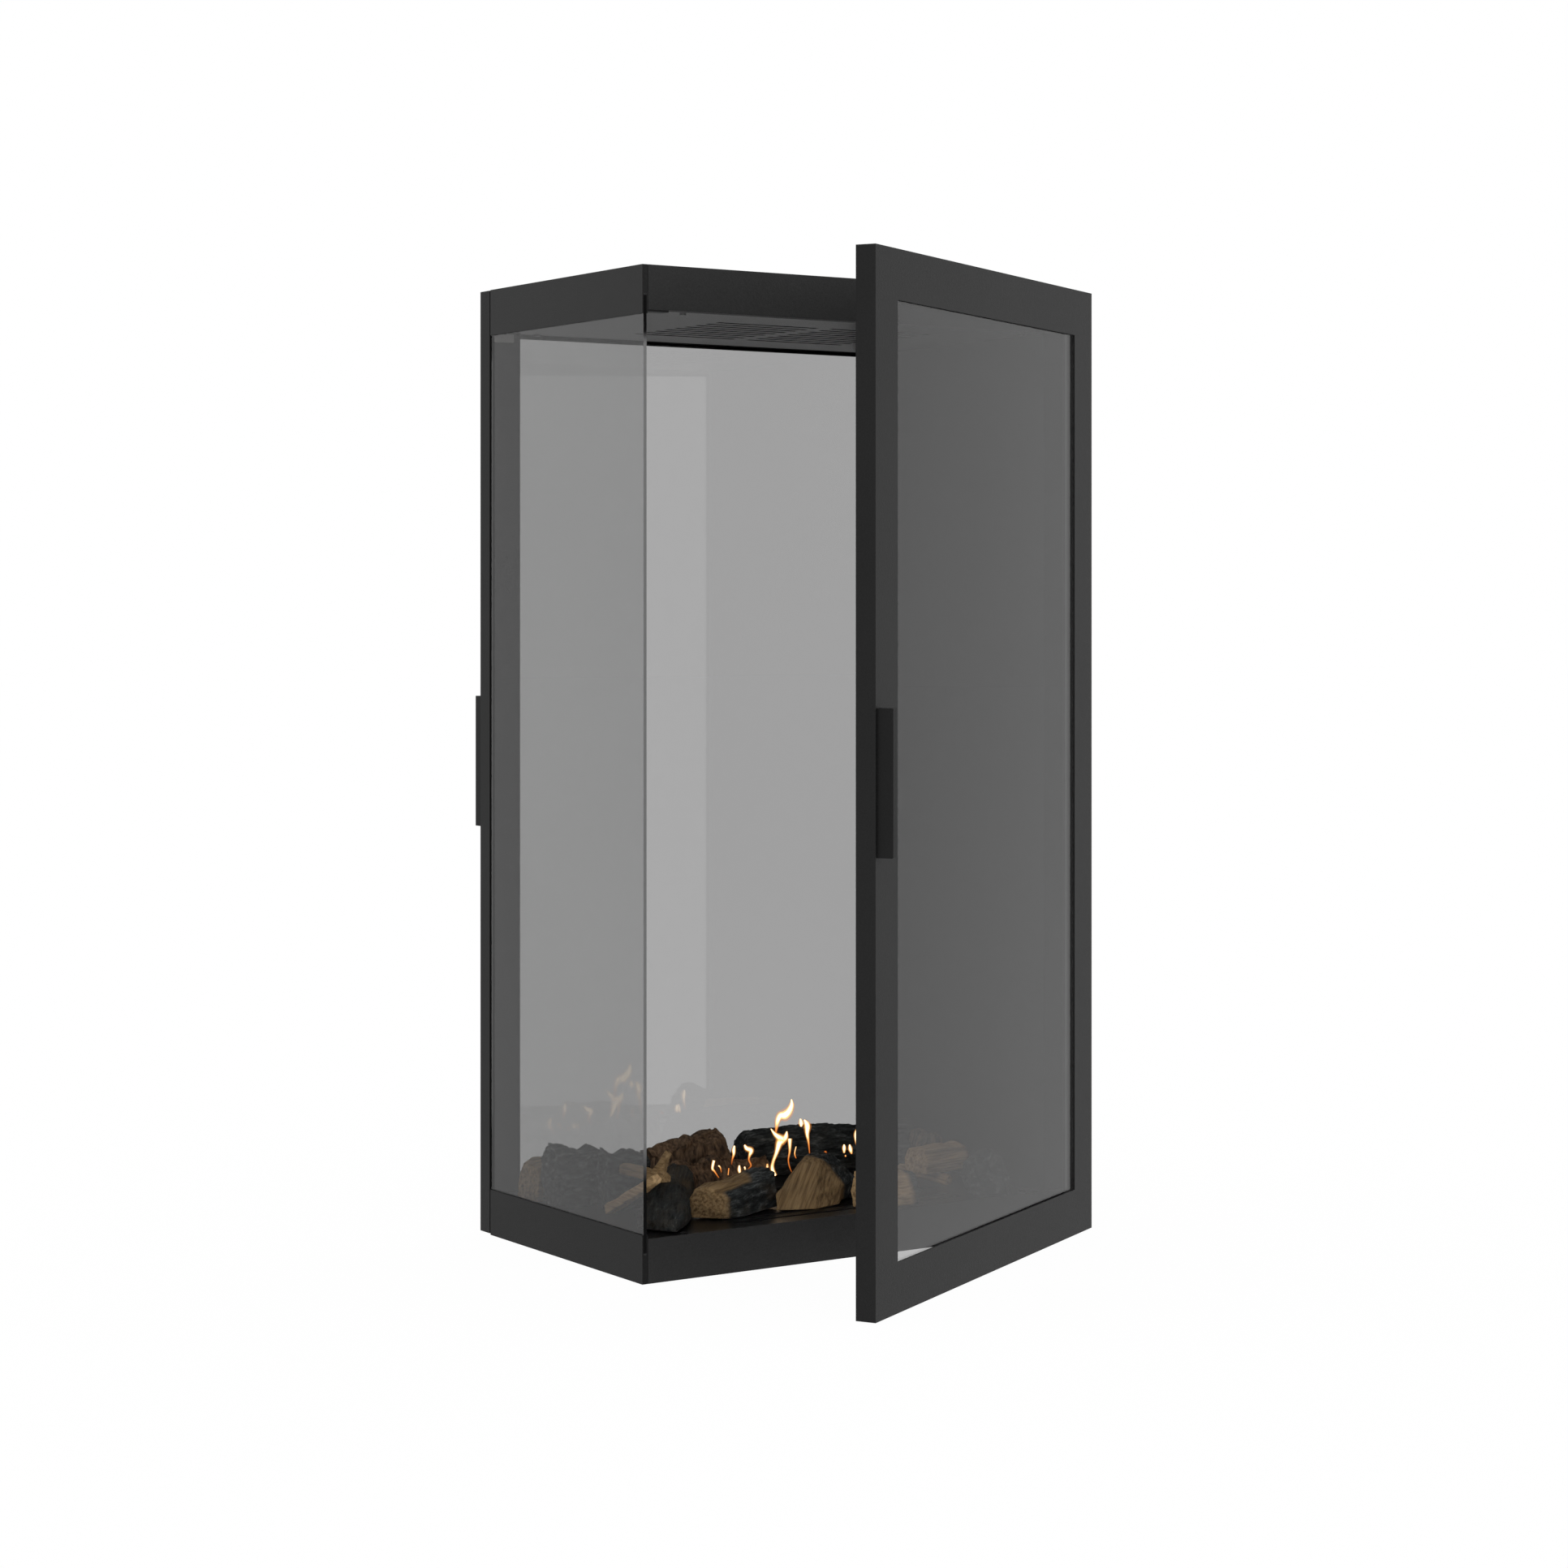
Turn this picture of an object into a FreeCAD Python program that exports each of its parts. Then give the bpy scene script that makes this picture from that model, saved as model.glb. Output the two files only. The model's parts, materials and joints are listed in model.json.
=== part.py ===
"""See-through bioethanol fireplace with two hinged glass doors.

Frame: origin at the centre of the casing's footprint on the floor, +Z up, +X towards the closed right end,
-Y towards the front door. All sizes are in millimetres.
"""
import FreeCAD, Part
import math
import os
from types import SimpleNamespace

import Sketcher
from FreeCAD import Placement, Rotation, Vector

doc = FreeCAD.newDocument("fireplace")
sheet = doc.addObject("Spreadsheet::Sheet", "Sizes")

# Driving dimensions of the casing, the doors and the burner
SIZES = {
    "body_width": 600,
    "body_depth": 350,
    "body_height": 1125,
    "sheet": 2,
    "liner_sheet": 1.5,
    "seam": 0.5,
    "fascia_height": 49.5,
    "sill_height": 49.5,
    "flange": 20,
    "floor_flange": 40,
    "floor_hole_radius": 4.5,
    "floor_hole_end": 60,
    "floor_hole_inset": 30,
    "cover_sheet": 1.5,
    "ceiling_sheet": 1.5,
    "ceiling_slot_length": 139,
    "ceiling_slot_width": 8,
    "ceiling_slot_pitch": 22.5,
    "ceiling_slot_rows": 9,
    "ceiling_group_gap": 19,
    "hearth_sheet": 2,
    "hearth_drop": 1.5,
    "air_slot_length": 316,
    "air_slot_width": 6,
    "air_slot_inset": 36,
    "air_slot_pitch": 21.5,
    "band_height": 54,
    "channel_width": 6.8,
    "groove_wall": 1.3,
    "groove_depth": 22,
    "seal_strip": 2,
    "glass_thickness": 4,
    "wall_width": 42,
    "corner_flange": 13,
    "post_width": 22,
    "post_wall": 2,
    "post_play": 2,
    "hinge_inset": 7,
    "hinge_setback": 19,
    "hinge_end": 130,
    "pin_radius": 2.5,
    "pin_play": 0.05,
    "pin_head_radius": 4,
    "pin_head_height": 1.5,
    "eye_radius": 5,
    "eye_height": 16,
    "eye_play": 0.5,
    "lug_thickness": 3,
    "lug_half_depth": 8,
    "arm_width": 7,
    "arm_height": 10,
    "foot_length": 32,
    "foot_height": 34,
    "foot_thickness": 3,
    "notch_play": 1.5,
    "door_gap": 2,
    "door_thickness": 23,
    "door_bottom_gap": 1.5,
    "door_top_gap": 0.5,
    "door_frame_width": 54,
    "door_box_width": 41,
    "door_open_angle": 29.2,
    "pane_play": 0.8,
    "pane_seal": 1,
    "pane_seal_setback": 1,
    "retainer_leg": 9,
    "retainer_depth": 12,
    "retainer_play": 0.2,
    "handle_length": 156,
    "handle_reach": 18.5,
    "handle_thickness": 10.5,
    "handle_inset": 3,
    "handle_edge": 1,
    "handle_screw_span": 100,
    "handle_screw_radius": 2.5,
    "handle_screw_head": 4.5,
    "handle_screw_depth": 8,
    "catch_length": 27,
    "catch_depth": 14,
    "catch_thickness": 2.5,
    "catch_setback": 0.5,
    "strike_height": 12,
    "strike_thickness": 1.2,
    "screw_radius": 2,
    "screw_head_radius": 3.75,
    "screw_head_height": 2.2,
    "screw_play": 0.1,
    "screw_margin": 25,
    "burner_length": 350,
    "burner_width": 130,
    "burner_depth": 40,
    "burner_corner": 14,
    "burner_play": 2,
    "burner_rim": 9,
    "tank_sheet": 1.5,
    "top_sheet": 2,
    "mouth_length": 222,
    "mouth_width": 34,
    "mouth_corner": 6,
    "wool_height": 28,
    "wool_play": 0.3,
    "slider_sheet": 1.5,
    "slider_overlap": 3,
    "slider_travel": 40,
    "slider_play": 0.3,
    "rail_sheet": 1.5,
    "rail_lip": 5,
    "knob_place": 90,
    "knob_radius": 7,
    "knob_height": 6,
    "knob_shank_radius": 3,
    "knob_margin": 6,
}

# Cross-sections of the logs, across and up, as shares of width and height. Each stands on its first edge.
BARK = [
    (-0.34, 0), (0.34, 0), (0.5, 0.3), (0.46, 0.66), (0.25, 0.93), (-0.08, 1.0), (-0.36, 0.84), (-0.5, 0.45),
]
SPLIT = [(-0.48, 0), (0.42, 0), (0.5, 0.4), (0.18, 1.0), (-0.12, 0.94), (-0.5, 0.36)]
BLOCK = [(-0.45, 0), (0.46, 0), (0.5, 0.55), (0.38, 0.93), (-0.3, 1.0), (-0.5, 0.68)]
CHARRED = [(-0.4, 0), (0.36, 0), (0.5, 0.34), (0.38, 0.72), (0.02, 1.0), (-0.3, 0.88), (-0.5, 0.4)]
STICK = [(-0.42, 0), (0.4, 0), (0.5, 0.5), (0.08, 1.0), (-0.44, 0.78)]

# Logs: cross-section, length, width, height, share of the far end and tilt; then the place, the turn about Z
# and the lift of each. They are drawn for a hearth of the width and depth in LOG_BED.
LOG_BED = (550.2, 345)
LOGS = {
    "rear_bark_log": (BARK, 112, 44, 50, 1.33, 0, -72, 112, 6, 0),
    "rear_charred_log": (CHARRED, 236, 50, 58, 0.92, 0, 130, 96, -8.8, 0),
    "rear_corner_log": (BLOCK, 72, 44, 47, 1.08, 0, -243, 121, 4, 0),
    "left_charred_log": (CHARRED, 66, 50, 74, 0.85, 0, -246, 62, 8, 0),
    "left_lump_log": (CHARRED, 56, 36, 72, 0.9, 0, -214, 11, 10, 0),
    "burner_rear_log": (SPLIT, 146, 28, 38, 0.9, 0, -50, 58, 2, 0),
    "front_left_log": (SPLIT, 146, 42, 38, 1.3, 0, -216, -91, 47, 0),
    "front_centre_log": (BLOCK, 104, 46, 36, 1.25, 0, -130, -97, 20.6, 0),
    "front_split_log": (SPLIT, 116, 44, 36, 1.4, 0, -34, -103, 40, 0),
    "front_right_log": (SPLIT, 78, 40, 42, 0.9, 0, 50, -140, 6, 0),
    "right_split_log": (BLOCK, 76, 40, 32, 1.0, 0, 203, -38, 10, 11.1),
    "right_charred_log": (CHARRED, 74, 52, 54, 0.8, 0, 206, -122, 62, 0),
    "right_brown_log": (BARK, 48, 34, 54, 0.9, 0, 231, 25, 80, 0),
    "right_long_stick": (STICK, 112, 14, 13, 0.9, 0, 196, -18, 86, 0),
    "left_long_stick": (STICK, 116, 15, 14, 0.85, 25.9, -244, -66, -90, 0),
    "left_fork_stick": (STICK, 82, 17, 14, 0.85, 0, -226, -58, -86, 46.4),
}
LOG_SHAPE = ("section", "length", "width", "height", "far_share", "tilt")
LOG_PLACE = ("x", "y", "turn", "lift")


class Size:
    """A number that carries the sheet formula it comes from."""

    def __init__(self, number, formula):
        self.number = number
        self.formula = formula

    def joined(self, other, sign, number):
        return Size(number, f"({self.formula} {sign} {other.formula})")

    def __add__(self, other):
        other = as_size(other)
        return self.joined(other, "+", self.number + other.number)

    def __sub__(self, other):
        other = as_size(other)
        return self.joined(other, "-", self.number - other.number)

    def __mul__(self, other):
        other = as_size(other)
        return self.joined(other, "*", self.number * other.number)

    def __truediv__(self, other):
        other = as_size(other)
        return self.joined(other, "/", self.number / other.number)

    def __rsub__(self, other):
        return as_size(other) - self

    def __neg__(self):
        return as_size(0) - self

    __radd__ = __add__
    __rmul__ = __mul__


def as_size(value):
    return value if isinstance(value, Size) else Size(float(value), repr(float(value)))


def smaller(first, second):
    return Size(min(first.number, second.number), f"min({first.formula}; {second.formula})")


def fill_sheet():
    """Writes every driving dimension to its own cell and returns them by name."""
    cells = dict(SIZES)
    for log_name, entry in LOGS.items():
        for field, value in zip(LOG_SHAPE + LOG_PLACE, entry):
            if field == "length" or field in LOG_PLACE:
                cells[f"{log_name}_{field}"] = value
    for row, (alias, value) in enumerate(cells.items(), start=1):
        sheet.set(f"A{row}", alias.replace("_", " "))
        sheet.set(f"B{row}", str(value))
        sheet.setAlias(f"B{row}", alias)
    doc.recompute()
    return SimpleNamespace(**{
        alias: Size(float(value), f"Sizes.{alias}") for alias, value in cells.items()
    })


size = fill_sheet()

# Reference planes of the casing
right = size.body_width / 2
left = -right
half_depth = size.body_depth / 2
top = size.body_height
casing_left = left + size.channel_width + size.seam
wall_face = right - size.wall_width
wall_edge = wall_face - size.seam
corner_edge = right - size.corner_flange - size.seam
ceiling_top = top - size.fascia_height
ceiling_low = ceiling_top - size.ceiling_sheet
hearth_top = size.sill_height - size.hearth_drop
hearth_low = hearth_top - size.hearth_sheet
burner_top_level = hearth_top + size.top_sheet
flange_end = half_depth - size.flange
screw_line = half_depth - (size.sheet + size.flange) / 2
post_left = wall_face + size.liner_sheet + size.post_play
post_right = post_left + size.post_width
pivot_x = right - size.hinge_inset
pivot_line = half_depth - size.hinge_setback
hinge_levels = (size.hinge_end, top - size.hinge_end)
door_low = size.door_bottom_gap
door_high = top - size.door_top_gap
door_middle = (door_low + door_high) / 2

FRONT, REAR = -1, 1
SIDES = {"front": FRONT, "rear": REAR}
NODES = []


# Sketch outlines
def rectangle(u_low, u_high, v_low, v_high):
    return [(u_low, v_low), (u_high, v_low), (u_high, v_high), (u_low, v_high)]


def circle(u, v, radius):
    return {"centres": [(u, v)], "radius": radius}


def slot(u, v, length, width):
    reach = (length - width) / 2
    return {"centres": [(u - reach, v), (u + reach, v)], "radius": width / 2}


def rounded_rectangle(length, width, radius):
    u, v = length / 2 - radius, width / 2 - radius
    return {"centres": [(-u, -v), (u, -v), (u, v), (-u, v)], "radius": radius}


def fix_point(sketch, geometry, point, u, v):
    """Ties a point of the sketch to two formulas."""
    for kind, place in (("DistanceX", u), ("DistanceY", v)):
        index = sketch.addConstraint(Sketcher.Constraint(kind, -1, 1, geometry, point, place.number))
        sketch.setExpression(f"Constraints[{index}]", place.formula)


def fix_radius(sketch, geometry, radius):
    index = sketch.addConstraint(Sketcher.Constraint("Radius", geometry, radius.number))
    sketch.setExpression(f"Constraints[{index}]", radius.formula)


def add_polygon(sketch, corners):
    corners = [(as_size(u), as_size(v)) for u, v in corners]
    first, count = sketch.GeometryCount, len(corners)
    places = [Vector(u.number, v.number, 0) for u, v in corners]
    for i in range(count):
        sketch.addGeometry(Part.LineSegment(places[i], places[(i + 1) % count]))
    for i in range(count):
        sketch.addConstraint(Sketcher.Constraint("Coincident", first + i, 2, first + (i + 1) % count, 1))
    for i, (u, v) in enumerate(corners):
        fix_point(sketch, first + i, 1, u, v)


def add_rounded(sketch, centres, radius):
    """Adds equal arcs about the centres, joined by tangent lines; one centre makes a circle."""
    centres = [(as_size(u), as_size(v)) for u, v in centres]
    places = [Vector(u.number, v.number, 0) for u, v in centres]
    first, count = sketch.GeometryCount, len(centres)
    upright = Vector(0, 0, 1)
    if count == 1:
        sketch.addGeometry(Part.Circle(places[0], upright, radius.number))
    else:
        runs = [places[(i + 1) % count] - places[i] for i in range(count)]
        headings = [math.atan2(run.y, run.x) - math.pi / 2 for run in runs]
        arcs = []
        for i in range(count):
            start, stop = headings[i - 1], headings[i]
            stop += 2 * math.pi if stop < start else 0
            arcs.append(Part.ArcOfCircle(Part.Circle(places[i], upright, radius.number), start, stop))
            sketch.addGeometry(arcs[-1])
        for i in range(count):
            sketch.addGeometry(Part.LineSegment(arcs[i].EndPoint, arcs[(i + 1) % count].StartPoint))
        for i in range(count):
            line = first + count + i
            sketch.addConstraint(Sketcher.Constraint("Tangent", first + i, 2, line, 1))
            sketch.addConstraint(Sketcher.Constraint("Tangent", line, 2, first + (i + 1) % count, 1))
    for i, (u, v) in enumerate(centres):
        fix_point(sketch, first + i, 3, u, v)
        fix_radius(sketch, first + i, radius)


# Features: each is a sketch on an origin plane, set off to a level and given a thickness
def sketch_at(body, plane, level, loops):
    """Sketches loops on the plane XY, XZ or YZ moved to a level along the remaining axis."""
    sketch = body.newObject("Sketcher::SketchObject", f"{body.Name}_outline")
    role = f"{plane}_Plane"
    sketch.AttachmentSupport = [(next(f for f in body.Origin.OriginFeatures if f.Role == role), "")]
    sketch.MapMode = "FlatFace"
    level = as_size(level)
    offset = -level if plane == "XZ" else level
    sketch.setExpression("AttachmentOffset.Base.z", offset.formula)
    for loop in loops:
        if isinstance(loop, dict):
            add_rounded(sketch, **loop)
        else:
            add_polygon(sketch, loop)
    return sketch


def pad(body, plane, loops, start, end):
    """Adds material from start to end along the axis square to the plane."""
    feature = body.newObject("PartDesign::Pad", f"{body.Name}_pad")
    feature.Profile = sketch_at(body, plane, end if plane == "XZ" else start, loops)
    feature.setExpression("Length", (as_size(end) - start).formula)
    body.Tip = feature
    return feature


def cut(body, plane, loops, start, end):
    """Removes material from start to end along the axis square to the plane."""
    doc.recompute()
    volume = body.Shape.Volume
    feature = body.newObject("PartDesign::Pocket", f"{body.Name}_cut")
    feature.Profile = sketch_at(body, plane, start if plane == "XZ" else end, loops)
    feature.setExpression("Length", (as_size(end) - start).formula)
    body.Tip = feature
    doc.recompute()
    if body.Shape.Volume >= volume:
        raise RuntimeError(f"{feature.Name} removed nothing")
    return feature


def new_body(name):
    body = doc.addObject("PartDesign::Body", name)
    body.Label = name
    NODES.append(body)
    return body


def prism(name, plane, loops, start, end):
    body = new_body(name)
    pad(body, plane, loops, start, end)
    return body


def round_edges(body, edges, radius):
    """Rounds the edges of the body's last feature that the test picks."""
    doc.recompute()
    base = body.Tip
    names = [f"Edge{i}" for i, edge in enumerate(base.Shape.Edges, start=1) if edges(edge)]
    feature = body.newObject("PartDesign::Fillet", f"{body.Name}_round")
    feature.Base = (base, names)
    feature.setExpression("Radius", radius.formula)
    body.Tip = feature


def mirrored(points, side):
    return [(u * side, v) for u, v in points]


def span(side, near, far):
    """Orders a stretch that is measured outwards from the middle of the depth."""
    near, far = as_size(near), as_size(far)
    return (near, far) if side == REAR else (-far, -near)


# Casing
def screw_places():
    """Screw positions along X, the same for the ceiling and the hearth."""
    return [casing_left + size.catch_length + size.screw_margin, wall_edge - size.screw_margin]


def screw_holes():
    radius = size.screw_radius + size.screw_play
    return [circle(x, screw_line * side, radius) for side in SIDES.values() for x in screw_places()]


def side_screw_holes(side):
    radius = size.screw_radius + size.screw_play
    return [circle(x, screw_line * side, radius) for x in screw_places()]


def fascia(name, side):
    """Folded top fascia: upright web, a shelf for the top cover and a flange over the ceiling."""
    web = half_depth - size.sheet
    shelf = top - size.cover_sheet
    outline = [
        (half_depth, ceiling_top), (half_depth, top), (web, top), (web, shelf), (flange_end, shelf),
        (flange_end, shelf - size.sheet), (web, shelf - size.sheet), (web, ceiling_top + size.sheet),
        (flange_end, ceiling_top + size.sheet), (flange_end, ceiling_top),
    ]
    body = prism(name, "YZ", [mirrored(outline, side)], casing_left, corner_edge)
    cut(body, "XY", side_screw_holes(side), ceiling_top, ceiling_top + size.sheet)


def sill(name, side):
    """Folded bottom fascia: upright web, a flange under the hearth and a drilled floor flange."""
    web = half_depth - size.sheet
    floor_end = half_depth - size.floor_flange
    outline = [
        (half_depth, 0), (half_depth, size.sill_height), (web, size.sill_height), (web, hearth_low),
        (flange_end, hearth_low), (flange_end, hearth_low - size.sheet), (web, hearth_low - size.sheet),
        (web, size.sheet), (floor_end, size.sheet), (floor_end, 0),
    ]
    body = prism(name, "YZ", [mirrored(outline, side)], casing_left, corner_edge)
    cut(body, "XY", side_screw_holes(side), hearth_low - size.sheet, hearth_low)
    hole_x, hole_y = right - size.floor_hole_end, half_depth - size.floor_hole_inset
    floor_holes = [circle(hole_x * end, hole_y * side, size.floor_hole_radius) for end in (-1, 1)]
    cut(body, "XY", floor_holes, 0, size.sheet)


def channel(name, low, high, groove_low, groove_high):
    """Grooved band that holds one edge of the fixed pane."""
    inside = left + size.channel_width
    body = prism(name, "XZ", [rectangle(left, inside, low, high)], -half_depth, half_depth)
    groove = rectangle(left + size.groove_wall, inside - size.groove_wall, groove_low, groove_high)
    cut(body, "XZ", [groove], -half_depth, half_depth)


def left_end():
    """Fixed pane with its two bands and the seal strips in the bottoms of their grooves."""
    high_band, low_band = top - size.band_height, size.band_height
    high_end, low_end = high_band + size.groove_depth, low_band - size.groove_depth
    channel("left_top_channel", high_band, top, high_band, high_end)
    channel("left_bottom_channel", 0, low_band, low_end, low_band)
    middle = left + size.channel_width / 2
    pane_low, pane_high = middle - size.glass_thickness / 2, middle + size.glass_thickness / 2
    seals = [
        rectangle(pane_low, pane_high, high_end - size.seal_strip, high_end),
        rectangle(pane_low, pane_high, low_end, low_end + size.seal_strip),
    ]
    prism("left_glass_seals", "XZ", seals, -half_depth, half_depth)
    pane = rectangle(pane_low, pane_high, low_end + size.seal_strip, high_end - size.seal_strip)
    prism("left_glass", "XZ", [pane], -half_depth, half_depth)


def slot_field(body, low, high):
    """Cuts two groups of long slots side by side, repeated in rows over the depth."""
    near = size.ceiling_group_gap / 2
    far = near + size.ceiling_slot_length
    first_row = -(size.ceiling_slot_rows - 1) * size.ceiling_slot_pitch / 2
    front, back = first_row - size.ceiling_slot_width / 2, first_row + size.ceiling_slot_width / 2
    row = [rectangle(-far, -near, front, back), rectangle(near, far, front, back)]
    feature = cut(body, "XY", row, low, high)
    pattern = body.newObject("PartDesign::LinearPattern", f"{body.Name}_rows")
    pattern.Originals = [feature]
    pattern.Direction = (feature.Profile[0], ["V_Axis"])
    pattern.setExpression("Length", ((size.ceiling_slot_rows - 1) * size.ceiling_slot_pitch).formula)
    pattern.setExpression("Occurrences", size.ceiling_slot_rows.formula)
    body.Tip = pattern


def ceiling_grille():
    edge = half_depth - size.catch_setback
    outline = rectangle(casing_left, wall_edge, -edge, edge)
    body = prism("ceiling_grille", "XY", [outline], ceiling_low, ceiling_top)
    slot_field(body, ceiling_low, ceiling_top)
    notch_x = casing_left + size.catch_length + size.seam
    notch_y = edge - size.catch_depth - size.seam
    notches = [rectangle(left, notch_x, *span(side, notch_y, half_depth)) for side in SIDES.values()]
    cut(body, "XY", notches, ceiling_low, ceiling_top)
    cut(body, "XY", screw_holes(), ceiling_low, ceiling_top)


def top_cover():
    shelf = top - size.cover_sheet
    edge = half_depth - size.sheet - size.seam
    outline = rectangle(casing_left, right - size.liner_sheet - size.seam, -edge, edge)
    body = prism("top_cover", "XY", [outline], shelf, top)
    slot_field(body, shelf, top)


def hearth_plate():
    edge = half_depth - size.sheet - size.seam
    outline = rectangle(casing_left, wall_edge, -edge, edge)
    body = prism("hearth_plate", "XY", [outline], hearth_low, hearth_top)
    play = size.burner_play
    opening = rounded_rectangle(
        size.burner_length + play * 2, size.burner_width + play * 2, size.burner_corner + play
    )
    cut(body, "XY", [opening], hearth_low, hearth_top)
    lines = [half_depth - size.air_slot_inset, half_depth - size.air_slot_inset - size.air_slot_pitch]
    slots = [
        slot(as_size(0), line * side, size.air_slot_length, size.air_slot_width)
        for side in SIDES.values() for line in lines
    ]
    cut(body, "XY", slots, hearth_low, hearth_top)
    cut(body, "XY", screw_holes(), hearth_low, hearth_top)


def wall_skin(name, outer_x, flange_x, thickness, low, high):
    """One skin of the closed right end: a sheet with a flange folded along each upright edge."""
    inner_x = outer_x + thickness
    fold = half_depth - size.liner_sheet
    outline = [
        (flange_x, -half_depth), (outer_x, -half_depth), (outer_x, half_depth), (flange_x, half_depth),
        (flange_x, fold), (inner_x, fold), (inner_x, -fold), (flange_x, -fold),
    ]
    return prism(name, "XY", [outline], low, high)


def right_end():
    """Closed double wall: outer skin with hinge notches, inner skin and the two hinge posts."""
    flange_x = right - size.corner_flange
    outer = wall_skin("right_outer_panel", right, flange_x, -size.liner_sheet, as_size(0), top)
    notch_depth = size.hinge_setback + size.eye_radius + size.notch_play
    notch_reach = size.eye_height / 2 + size.notch_play
    for level in hinge_levels:
        corners = [
            rectangle(flange_x, right, *span(side, half_depth - notch_depth, half_depth))
            for side in SIDES.values()
        ]
        cut(outer, "XY", corners, level - notch_reach, level + notch_reach)
    low, high = size.sill_height + size.seam, ceiling_top - size.seam
    wall_skin("right_inner_panel", wall_face, corner_edge, size.liner_sheet, low, high)
    for name, side in SIDES.items():
        outer_y = half_depth - size.sheet - size.seam
        inner_y = outer_y - size.post_width
        wall = size.post_wall
        tube = [
            rectangle(post_left, post_right, *span(side, inner_y, outer_y)),
            rectangle(post_left + wall, post_right - wall, *span(side, inner_y + wall, outer_y - wall)),
        ]
        prism(f"{name}_hinge_post", "XY", tube, hearth_low, ceiling_top)


def hinge_brackets():
    """Forked bracket on the hinge post at each hinge, with two lugs for the pin."""
    body = new_body("hinge_brackets")
    lug_end = right - size.liner_sheet - size.seam
    near, far = pivot_line - size.lug_half_depth, pivot_line + size.lug_half_depth
    plate_end = post_right + size.lug_thickness
    plates = [rectangle(post_right, plate_end, *span(side, near, far)) for side in SIDES.values()]
    lugs = [rectangle(post_right, lug_end, *span(side, near, far)) for side in SIDES.values()]
    inside = size.eye_height / 2 + size.eye_play
    outside = inside + size.lug_thickness
    for level in hinge_levels:
        pad(body, "XY", plates, level - outside, level + outside)
        pad(body, "XY", lugs, level - outside, level - inside)
        pad(body, "XY", lugs, level + inside, level + outside)
    bores = [circle(pivot_x, pivot_line * side, size.pin_radius + size.pin_play) for side in SIDES.values()]
    for level in hinge_levels:
        cut(body, "XY", bores, level - outside, level + outside)


def hinge_pins():
    """Headed pins, dropped in from above."""
    body = new_body("hinge_pins")
    outside = size.eye_height / 2 + size.eye_play + size.lug_thickness
    places = [pivot_line * side for side in SIDES.values()]
    shanks = [circle(pivot_x, y, size.pin_radius) for y in places]
    heads = [circle(pivot_x, y, size.pin_head_radius) for y in places]
    for level in hinge_levels:
        pad(body, "XY", shanks, level - outside, level + outside)
        pad(body, "XY", heads, level + outside, level + outside + size.pin_head_height)


def door_catches():
    """Magnetic plates under the fascias, at the free edges of the doors."""
    edge = half_depth - size.catch_setback
    plates = [
        rectangle(casing_left, casing_left + size.catch_length, *span(side, edge - size.catch_depth, edge))
        for side in SIDES.values()
    ]
    prism("door_catches", "XY", plates, ceiling_top - size.catch_thickness, ceiling_top)


def casing_screws():
    """Pan-head screws of the ceiling, driven upwards, and of the hearth, driven downwards."""
    body = new_body("casing_screws")
    places = [(x, screw_line * side) for side in SIDES.values() for x in screw_places()]
    shanks = [circle(x, y, size.screw_radius) for x, y in places]
    heads = [circle(x, y, size.screw_head_radius) for x, y in places]
    pad(body, "XY", shanks, ceiling_low, ceiling_top + size.sheet * 2)
    pad(body, "XY", heads, ceiling_low - size.screw_head_height, ceiling_low)
    pad(body, "XY", shanks, hearth_low - size.sheet * 2, hearth_top)
    pad(body, "XY", heads, hearth_top, hearth_top + size.screw_head_height)


# Burner
def burner():
    """Drop-in tank with its fibre filling and the top plate that hangs on the hearth."""
    tank_low = hearth_top - size.burner_depth
    wall = size.tank_sheet
    tank = prism("burner_tank", "XY", [
        rounded_rectangle(size.burner_length, size.burner_width, size.burner_corner)
    ], tank_low, hearth_top)
    inner_length, inner_width = size.burner_length - wall * 2, size.burner_width - wall * 2
    inner_corner = size.burner_corner - wall
    cut(tank, "XY", [rounded_rectangle(inner_length, inner_width, inner_corner)], tank_low + wall, hearth_top)
    play = size.wool_play
    wool = rounded_rectangle(inner_length - play * 2, inner_width - play * 2, inner_corner - play)
    prism("burner_wool", "XY", [wool], tank_low + wall, tank_low + wall + size.wool_height)
    lap = (size.burner_play + size.burner_rim) * 2
    plate = prism("burner_top", "XY", [
        rounded_rectangle(size.burner_length + lap, size.burner_width + lap, size.burner_corner + lap / 2)
    ], hearth_top, burner_top_level)
    cut(plate, "XY", [
        rounded_rectangle(size.mouth_length, size.mouth_width, size.mouth_corner)
    ], hearth_top, burner_top_level)
    way = size.knob_shank_radius + size.slider_play
    way_end = knob_line() + size.knob_shank_radius + size.slider_play
    cut(plate, "XY", [
        rectangle(size.knob_place - way, size.knob_place + way, size.mouth_width / 2, way_end)
    ], hearth_top, burner_top_level)


def slider_edges():
    """Near and far edge of the slide in its open place, behind the mouth."""
    reach = size.mouth_width / 2 + size.slider_overlap
    return -reach + size.slider_travel, reach + size.slider_travel


def knob_line():
    return slider_edges()[1] - size.knob_margin


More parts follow.
